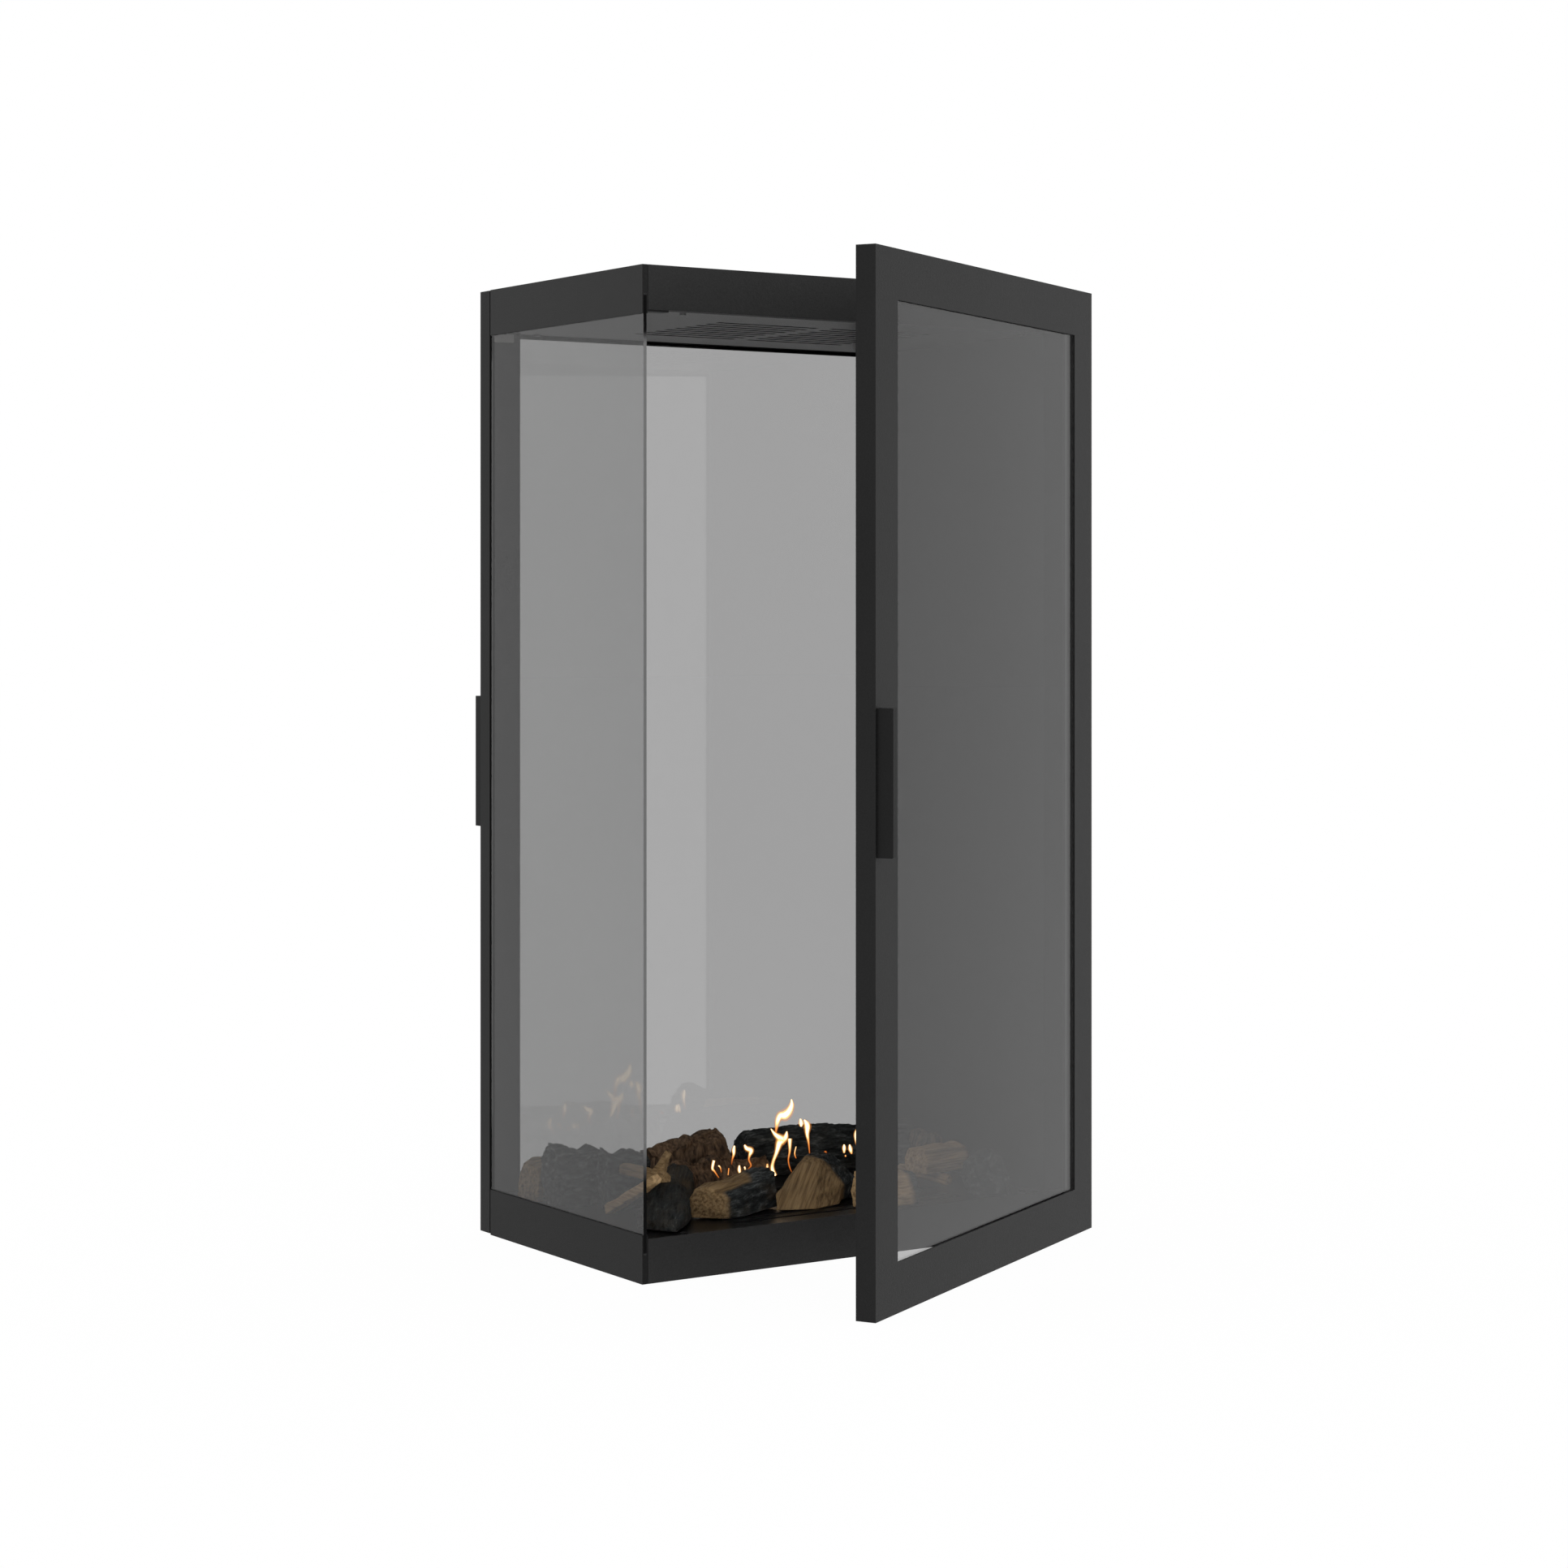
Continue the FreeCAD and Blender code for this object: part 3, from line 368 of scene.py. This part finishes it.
def write_attribute(mesh, name, kind, field, values):
    """Stores a value for each point of a mesh."""
    mesh.attributes.new(name, kind, "POINT").data.foreach_set(field, values)


# Logs
LOG_VOXEL = 1.5 * MM
MERGE_DISTANCE = 0.01 * MM
SEAT_BAND = 6 * MM
RAGGED = 0.22
RAGGED_RATES = (40, 60, 60)
SEED_STEP = 3.7
UPRIGHT = np.array((0, 0, 1))


def smooth_step(low, high, value):
    share = min(1.0, max(0.0, (value - low) / (high - low)))
    return share * share * (3 - 2 * share)


def log_axes(points):
    """Centre and level unit vectors along and across a log, from the spread of its points."""
    centre = points.mean(0)
    spread = np.cov((points - centre)[:, :2].T)
    along = np.linalg.eigh(spread)[1][:, -1]
    along = along if along[0] >= 0 else -along
    return centre, np.array((*along, 0)), np.array((-along[1], along[0], 0))


# Cleft faces: planes that split pieces off a log. A place along, across (-1 to 1) and up (0 to 1), then the
# direction that is split off, along, across and up.
CLEFTS = {
    "front_centre_log": [((0.1, 0.1, 0.95), (-0.1, -0.55, 0.83)), ((-0.86, 0, 0.4), (-0.9, -0.45, -0.1)),
                         ((0, -0.72, 0.5), (0.12, -0.98, 0.05))],
    "front_split_log": [((0.6, -0.1, 1.0), (-0.317, -0.734, 0.6)), ((0.6, -0.1, 1.0), (-0.58, -0.262, 0.77))],
    "front_left_log": [((0, 0, 0.62), (-0.3, -0.08, 0.95)), ((-0.85, 0, 0.2), (-0.9, 0.3, 0.1)),
                       ((0, -0.85, 0.3), (0.1, -0.95, 0.1))],
    "right_split_log": [((0, -0.7, 0.6), (0, -0.9, 0.4)), ((0, 0, 0.9), (0.05, -0.2, 1))],
    "rear_corner_log": [((0, -0.7, 0.6), (0.1, -0.9, 0.35)), ((0, 0, 0.88), (-0.1, -0.25, 1))],
}
# Growth of a log towards its near end and its far end, as shares of its half length, and in width
GROWTH = {
    "front_split_log": (0.15, 0.55, 0.3),
    "front_centre_log": (0.2, 0.2, 0),
    "front_left_log": (0, 0.1, 0.2),
}
# A side shoot of a stick: where its root is and where it points, as for a cleft, its length and its two radii
SHOOTS = {"left_fork_stick": ((0.6, 0.0, 0.6), (0.5, 0.15, 0.85), 30 * MM, 9 * MM, 5 * MM)}
SHOOT_SIDES = 7


def cleave(work, node):
    """Gives a log's solid its shoot and growth, splits it along its cleft faces and closes the cuts."""
    points = np.array([vertex.co for vertex in work.verts])
    centre, along_axis, across_axis = log_axes(points)
    low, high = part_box(node)
    half_length = abs((points - centre) @ along_axis).max()
    half_width = abs((points - centre) @ across_axis).max()

    def spot(along, across, up):
        point = centre + along_axis * along * half_length + across_axis * across * half_width
        point[2] = low.z + up * (high.z - low.z)
        return point

    def direction(along, across, up):
        return along_axis * along + across_axis * across + UPRIGHT * up

    if node in SHOOTS:
        root, heading, length, thick, thin = SHOOTS[node]
        pointing = Vector(direction(*heading))
        turn = pointing.to_track_quat("Z", "Y").to_matrix().to_4x4()
        middle = Vector(spot(*root)) + pointing.normalized() * length / 2
        bmesh.ops.create_cone(work, cap_ends=True, segments=SHOOT_SIDES, radius1=thick, radius2=thin,
                              depth=length, matrix=Matrix.Translation(middle) @ turn)
    near, far, wide = GROWTH.get(node, (0, 0, 0))
    for vertex, offset in zip(work.verts, points - centre):
        along, across = offset @ along_axis, offset @ across_axis
        vertex.co += Vector(along_axis * along * (far if along > 0 else near) + across_axis * across * wide)
    for cleft, split_off in CLEFTS.get(node, ()):
        cut = bmesh.ops.bisect_plane(work, geom=[*work.verts, *work.edges, *work.faces],
                                     plane_co=spot(*cleft), plane_no=direction(*split_off), clear_outer=True)
        rim = [item for item in cut["geom_cut"] if isinstance(item, bmesh.types.BMEdge)]
        bmesh.ops.holes_fill(work, edges=rim)


def remeshed(node, name):
    """A closed, evenly divided copy of a log's solid, cleft and free of it."""
    work = bmesh.new()
    work.from_mesh(nodes[node].data)
    bmesh.ops.remove_doubles(work, verts=work.verts, dist=MERGE_DISTANCE)
    cleave(work, node)
    mesh = bpy.data.meshes.new(name)
    work.to_mesh(mesh)
    work.free()
    piece = added(name, mesh)
    remesh = piece.modifiers.new("even", "REMESH")
    remesh.mode = "VOXEL"
    remesh.voxel_size = LOG_VOXEL
    soften = piece.modifiers.new("soften", "SMOOTH")
    soften.iterations = 1
    settle(piece)
    return piece


# Reliefs of a log's skin, as heights in millimetres
SPLIT_STEPS = 4
CLEFT_WIDTH = 0.06
FURROW_SLOPE = 6


def ripple(along, across, up, seed, *rates):
    """Noise with its own rate along, across and up the log."""
    return noise.noise(Vector((along * rates[0] + seed, across * rates[1], up * rates[2])))


def plates(along, across, up, seed, *rates):
    """Distances from a place to its nearest and next plate of a cracked skin."""
    distances, _ = noise.voronoi(Vector((along * rates[0] + seed, across * rates[1], up * rates[2])))
    return distances[:2]


def split_relief(along, across, up, seed):
    """Long fibres, steps where the wood split off, a few deep clefts and small chips."""
    fibre = ripple(along, across, up, seed, 9, 170, 170)
    step = math.floor(ripple(along, across, up, seed * 2, 12, 80, 80) * SPLIT_STEPS)
    cleft = max(0.0, CLEFT_WIDTH - abs(ripple(along, across, up, seed * 3, 5, 50, 50)))
    chip = ripple(along, across, up, seed, 150, 150, 150)
    return 0.35 * fibre + 1.6 * step / SPLIT_STEPS - 2.2 * cleft / CLEFT_WIDTH + 0.25 * chip


def bark_relief(along, across, up, seed):
    """Swollen plates of bark with furrows between them."""
    nearest, following = plates(along, across, up, seed, 36, 36, 28)
    plate = max(0.0, 1 - nearest * nearest * 2.2)
    furrow = min(1.0, (following - nearest) * FURROW_SLOPE)
    fibre = ripple(along, across, up, seed, 320, 320, 50)
    return 7.0 * plate - 4.0 + 2.2 * (furrow - 1) + 0.6 * fibre


def charred_relief(along, across, up, seed):
    """Flaky charcoal with cracks across and along the grain."""
    nearest, following = plates(along, across, up, seed, 60, 100, 100)
    crack = min(1.0, (following - nearest) * FURROW_SLOPE)
    lump = ripple(along, across, up, seed, 24, 34, 34)
    chip = ripple(along, across, up, seed, 50, 140, 140)
    return 1.2 * crack - 1.2 + 1.5 * lump + 1.1 * chip


def front_centre_charring(along, across, up):
    """Burnt along its front, short of the near end, and at its far end."""
    front = smooth_step(-0.5, -0.65, across) * smooth_step(-0.75, -0.55, along)
    return max(front, smooth_step(0.2, 0.4, along - 0.3 * across))


def front_left_charring(along, across, up):
    """Burnt all over, less so in a band across the log."""
    return 0.9 - 0.3 * smooth_step(-0.1, 0.3, along) * smooth_step(0.7, 0.4, along)


# Share of charring along (from -1 to 1), across (from -1 to 1) and up (0 to 1) each log
CHARRING = {
    "front_centre_log": front_centre_charring,
    "front_split_log": lambda along, across, up: smooth_step(0.05, 0.2, along),
    "front_left_log": front_left_charring,
    "front_right_log": lambda along, across, up: smooth_step(0.55, 0.8, along),
    "right_split_log": lambda along, across, up: smooth_step(0.7, 1.0, along),
    "rear_corner_log": lambda along, across, up: smooth_step(0.35, 0.8, along),
    "burner_rear_log": lambda along, across, up: 0.25 * smooth_step(0.5, 0.0, up),
}
RELIEFS = {"log_tan": split_relief, "log_brown": bark_relief, "log_charred": split_relief}
# How steeply the wood's fibres rise towards a log's far end, in degrees
LEANS = {"front_split_log": 37, "front_left_log": 17, "front_centre_log": 5}


def read_vectors(vertices, field):
    values = np.empty(len(vertices) * 3)
    vertices.foreach_get(field, values)
    return values.reshape(-1, 3)


def log_skin(node, seed, places, fibre_places, sizes):
    """Height of the relief and share of charring at each place along, across and up a log."""
    slot = slot_of[node]
    relief = RELIEFS[slot]
    charring = CHARRING.get(node, lambda along, across, up: 1.0 if slot == "log_charred" else 0.0)
    half_length, half_width, height = sizes
    depths, shares = [], []
    for (along, across, up), fibre in zip(places, fibre_places):
        ragged = RAGGED * ripple(along, across, up, seed, *RAGGED_RATES)
        share = charring(along / half_length, across / half_width, up / height + ragged) + ragged
        share = min(1.0, max(0.0, share))
        depth = relief(*fibre, seed) * (1 - share) + charred_relief(*fibre, seed) * share
        depths.append(depth * MM * min(1.0, up / SEAT_BAND))
        shares.append(share)
    return np.array(depths), shares


def rough_log(node, seed):
    """Stands for a plain log solid: the same log with a fired, fibrous or charred skin."""
    piece = remeshed(node, f"rough_{node}")
    mesh = piece.data
    points = read_vectors(mesh.vertices, "co")
    normals = read_vectors(mesh.vertices, "normal")
    centre, along_axis, across_axis = log_axes(points)
    low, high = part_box(node)
    alongs = (points - centre) @ along_axis
    acrosses = (points - centre) @ across_axis
    ups = points[:, 2] - low.z
    sizes = abs(alongs).max(), abs(acrosses).max(), high.z - low.z
    lean = math.radians(LEANS.get(node, 0))
    fibre_alongs = alongs * math.cos(lean) + ups * math.sin(lean)
    fibre_ups = ups * math.cos(lean) - alongs * math.sin(lean)
    places = np.column_stack((alongs, acrosses, ups))
    fibre_places = np.column_stack((fibre_alongs, acrosses, fibre_ups))
    depths, shares = log_skin(node, seed, places, fibre_places, sizes)
    points += normals * depths[:, None]
    points[:, 2] = points[:, 2].clip(low.z, None)
    mesh.vertices.foreach_set("co", points.ravel())
    write_attribute(mesh, "grain", "FLOAT_VECTOR", "vector", fibre_places.ravel())
    write_attribute(mesh, "char", "FLOAT", "value", shares)
    mesh.shade_smooth()
    mesh.materials.clear()
    mesh.materials.append(log_finishes.get(node) or slot_finishes[slot_of[node]])
    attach(piece, "casing")
    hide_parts(node)


# Flames: each is a path from head to tail of (place along the mouth, level, width, heat), the first three in
# millimetres and the heat from 0 to 1
FLAMES = [
    [(-96, 94, 3.3, 1), (-98, 85, 3, 0.85), (-95, 81, 2, 0.6), (-89, 73, 1, 0.35)],
    [(-87, 86, 1.6, 0.85), (-86, 86, 1.8, 0.85), (-84, 83, 1.4, 0.6), (-83, 78, 0.8, 0.3)],
    [(-71, 110, 2, 1), (-72, 105, 4.2, 1), (-72, 100, 3, 0.8), (-74, 94, 1.8, 0.45), (-75, 88, 1, 0.2)],
    [(-72, 82, 1.5, 0.55), (-73, 74, 1.2, 0.65)],
    [(-61, 85, 2, 0.95), (-61, 80, 4, 1), (-60, 75, 2, 0.7)],
    [(-55, 83, 2, 0.95), (-54, 80, 2, 0.75), (-53, 76, 1, 0.4)],
    [(-49, 107, 2.5, 0.95), (-46, 103, 5, 1), (-40, 100, 6, 1), (-42, 94, 3, 0.75),
     (-43, 89, 2, 0.5), (-40, 82, 1.8, 0.45), (-45, 78, 1, 0.2)],
    [(-24, 84, 2, 0.7), (-24, 80, 3, 0.8)],
    [(-8, 68, 4, 1), (-12, 76, 4.5, 0.9), (-11, 84, 3.5, 0.75), (-6, 95, 4.5, 0.9),
     (-2, 106, 8, 1), (1, 110, 9, 1), (-8, 117, 4.5, 1), (-14, 124, 1.2, 0.85)],
    [(1, 108, 7, 1), (7, 112, 6.5, 1), (9, 119, 1.5, 0.9)],
    [(8, 111, 5, 1), (8, 97, 2.6, 0.7), (6, 86, 1.6, 0.5), (8, 77, 1.4, 0.4), (11, 71, 0.8, 0.2)],
    [(18, 156, 1.5, 1), (18, 149, 6, 1), (14, 142, 9, 1), (8, 138, 11, 1), (2, 138, 8, 1),
     (-2, 132, 6, 0.9), (-4, 122, 3, 0.55), (-5, 113, 1.5, 0.3)],
    [(25, 133, 2.5, 1), (26, 128, 5.5, 1), (26, 124, 2.5, 0.9)],
    [(32, 131, 2, 1), (36, 124, 7.5, 1), (36, 114, 4.5, 0.9), (38, 103, 2.2, 0.6), (40, 85, 1, 0.25)],
    [(24, 99, 1.2, 0.8), (22, 91, 1.6, 0.7), (24, 85, 1, 0.4)],
    [(32, 87, 1.2, 0.75), (32, 83, 2.4, 0.75), (33, 79, 1, 0.4)],
    [(66, 90, 2.5, 0.35), (66, 87, 4, 0.3)],
    [(91, 96, 2, 1), (91, 92, 4.2, 1), (91, 86, 2, 0.7)],
    [(96, 96, 2, 1), (97, 91, 4.8, 1), (99, 85, 2, 0.6)],
    [(97, 82, 1.6, 0.7), (97, 80, 1.6, 0.6)],
    [(106, 114, 2, 1), (105, 108, 4.6, 1), (105, 101, 3, 0.85), (107, 89, 1, 0.35)],
]
# The flames stand off the mouth's middle line by up to FLAME_DEPTH, on a sine wave that goes on by FLAME_TURN
# from one flame to the next
FLAME_DEPTH = 6 * MM
FLAME_TURN = 2.4
FLAME_STEP = 0.8 * MM
FLAME_SIDES = 10
FLICKER_RATE = 260
FLICKER_SHARE = 0.12
HEART_SWELL = 0.55
MANTLE_SWELL = 0.9
VEIL_SWELL = 1.35


def flame_finish(name, stops, strength, alpha):
    """Glowing vapour, coloured by its heat."""
    material, tree, shader = surface(name, Base_Color=(0, 0, 0, 1), Roughness=1.0, Emission_Strength=strength,
                                     Specular_IOR_Level=0.0, Alpha=alpha)
    flicker = grain(tree, place(tree), FLICKER_RATE, detail=2)
    heat = tree.nodes.new("ShaderNodeMath")
    heat.operation = "MULTIPLY_ADD"
    heat.inputs[1].default_value = FLICKER_SHARE
    tree.links.new(flicker, heat.inputs[0])
    tree.links.new(own_attribute(tree, "glow")["Fac"], heat.inputs[2])
    tree.links.new(ramp(tree, heat.outputs["Value"], *stops), shader.inputs["Emission Color"])
    return material


class NodeTree:
    """Small helper that adds nodes to a geometry tree and joins them."""

    def __init__(self, name, **numbers):
        self.tree = bpy.data.node_groups.new(name, "GeometryNodeTree")
        self.tree.interface.new_socket("Geometry", in_out="INPUT", socket_type="NodeSocketGeometry")
        self.sockets = {}
        for label, value in numbers.items():
            socket = self.tree.interface.new_socket(label, in_out="INPUT", socket_type="NodeSocketFloat")
            socket.default_value = value
            self.sockets[label] = socket.identifier
        self.tree.interface.new_socket("Geometry", in_out="OUTPUT", socket_type="NodeSocketGeometry")
        self.given = self.tree.nodes.new("NodeGroupInput").outputs

    def add(self, kind, inputs=(), **settings):
        """Adds a node; inputs are given by number or name, as values or as other nodes' sockets."""
        node = self.tree.nodes.new(kind)
        for field, value in settings.items():
            setattr(node, field, value)
        for key, value in dict(inputs).items():
            if isinstance(value, bpy.types.NodeSocket):
                self.tree.links.new(value, node.inputs[key])
            else:
                node.inputs[key].default_value = value
        return node.outputs

    def product(self, *values):
        return self.add("ShaderNodeMath", enumerate(values), operation="MULTIPLY")["Value"]

    def named(self, name):
        return self.add("GeometryNodeInputNamedAttribute", {"Name": name}, data_type="FLOAT")["Attribute"]


def flame_tree(finish):
    """Draws a round, closed tongue along every path, as wide as the path says at each point."""
    tree = NodeTree("flame_tongues", Swell=1.0, Step=FLAME_STEP)
    paths = tree.add("GeometryNodeMeshToCurve", {"Mesh": tree.given["Geometry"]})["Curve"]
    curved = tree.add("GeometryNodeCurveSplineType", {"Curve": paths}, spline_type="CATMULL_ROM")["Curve"]
    spacing = {"Curve": curved, "Length": tree.given["Step"]}
    even = tree.add("GeometryNodeResampleCurve", spacing, mode="LENGTH")["Curve"]
    radius = tree.product(tree.named("width"), tree.product(tree.given["Swell"], 0.5))
    ring = tree.add("GeometryNodeCurvePrimitiveCircle", {"Resolution": FLAME_SIDES, "Radius": 1.0})["Curve"]
    sweep = {"Curve": even, "Profile Curve": ring, "Scale": radius, "Fill Caps": True}
    tongues = tree.add("GeometryNodeCurveToMesh", sweep)["Mesh"]
    real = tree.add("GeometryNodeRealizeInstances", {"Geometry": tongues})["Geometry"]
    done = tree.add("GeometryNodeSetMaterial", {"Geometry": real, "Material": finish})["Geometry"]
    tree.add("NodeGroupOutput", {"Geometry": done})
    return tree


def flames(name, finish, swell):
    """One layer of all the flames over the burner's mouth, swell times as wide as their paths say."""
    places, edges, widths, heats = [], [], [], []
    for count, path in enumerate(FLAMES):
        off_line = FLAME_DEPTH * math.sin(count * FLAME_TURN)
        for index, (x, level, width, heat) in enumerate(path):
            if index:
                edges.append((len(places) - 1, len(places)))
            places.append((x * MM, off_line, level * MM))
            widths.append(width * MM)
            heats.append(heat)
    mesh = bpy.data.meshes.new(name)
    mesh.from_pydata(places, edges, [])
    write_attribute(mesh, "width", "FLOAT", "value", widths)
    write_attribute(mesh, "glow", "FLOAT", "value", heats)
    piece = added(name, mesh)
    tree = flame_tree(finish)
    modifier = piece.modifiers.new("tongues", "NODES")
    modifier.node_group = tree.tree
    modifier[tree.sockets["Swell"]] = swell
    settle(piece)
    piece.data.shade_smooth()
    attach(piece, "casing")


def burner_fire():
    """A white-hot heart, a yellow mantle and a faint red veil round every flame."""
    heart = flame_finish("flame_heart", [(0.2, (0.05, 0.009, 0.002)), (0.5, (0.16, 0.05, 0.01)),
                                         (0.75, (0.34, 0.17, 0.05)), (1.0, (0.7, 0.58, 0.4))], 5.0, 0.9)
    mantle = flame_finish("flame_mantle", [(0.2, (0.12, 0.015, 0.002)), (0.6, (0.6, 0.17, 0.025)),
                                           (1.0, (1, 0.66, 0.24))], 1.6, 0.45)
    veil = flame_finish("flame_veil", [(0.2, (0.1, 0.01, 0.002)), (0.6, (0.45, 0.07, 0.01)),
                                       (1.0, (1, 0.36, 0.09))], 1.0, 0.16)
    flames("flame_hearts", heart, HEART_SWELL)
    flames("flame_mantles", mantle, MANTLE_SWELL)
    flames("flame_veils", veil, VEIL_SWELL)


# Studio
PHOTO_SIDE = 1932
FOCAL_PIXELS = 4047
HORIZON_ROW = 757.5
SENSOR_WIDTH = 36
VIEW_DIRECTION = Vector((0.5529, 0.8333, 0))
CAMERA_PLACE = Vector((-2.1710, -3.2771, 0.7383))
FLOOR_REACH = 30
FLOOR_LIGHT = 0.99
SPECK_RATE = 4


def photo_camera():
    """Level camera at the photograph's place, shifted because the horizon lies above the frame's middle."""
    data = bpy.data.cameras.new("photo_camera")
    data.sensor_width = SENSOR_WIDTH
    data.lens = SENSOR_WIDTH * FOCAL_PIXELS / PHOTO_SIDE
    data.shift_y = (HORIZON_ROW - PHOTO_SIDE / 2) / PHOTO_SIDE
    camera = added("photo_camera", data)
    camera.location = CAMERA_PLACE
    camera.rotation_euler = VIEW_DIRECTION.to_track_quat("-Z", "Y").to_euler()
    scene.camera = camera


def studio():
    """White studio: even light from all round and a plain pale floor that shines as evenly."""
    world = bpy.data.worlds.new("white_studio")
    world.use_nodes = True
    light = world.node_tree.nodes["Background"]
    light.inputs["Color"].default_value = (1, 1, 1, 1)
    light.inputs["Strength"].default_value = 1.0
    scene.world = world
    mesh = bpy.data.meshes.new("floor")
    corners = [(FLOOR_REACH * x, FLOOR_REACH * y, 0) for x, y in ((-1, -1), (1, -1), (1, 1), (-1, 1))]
    mesh.from_pydata(corners, [], [range(len(corners))])
    material, tree, shader = surface("pale_floor", Roughness=1.0, Specular_IOR_Level=0.0,
                                     Emission_Strength=FLOOR_LIGHT)
    speck = grain(tree, place(tree), SPECK_RATE)
    tree.links.new(ramp(tree, speck, (0.3, 0.02), (0.7, 0.03)), shader.inputs["Base Color"])
    tree.links.new(ramp(tree, speck, (0.3, 0.99), (0.7, 0.98)), shader.inputs["Emission Color"])
    mesh.materials.append(material)
    floor = added("floor", mesh)
    scene.view_settings.view_transform = "Standard"


dress_casing()
for count, log in enumerate(sorted(name for name in nodes if slot_of[name].startswith("log_"))):
    rough_log(log, seed=count * SEED_STEP)
burner_fire()
photo_camera()
studio()
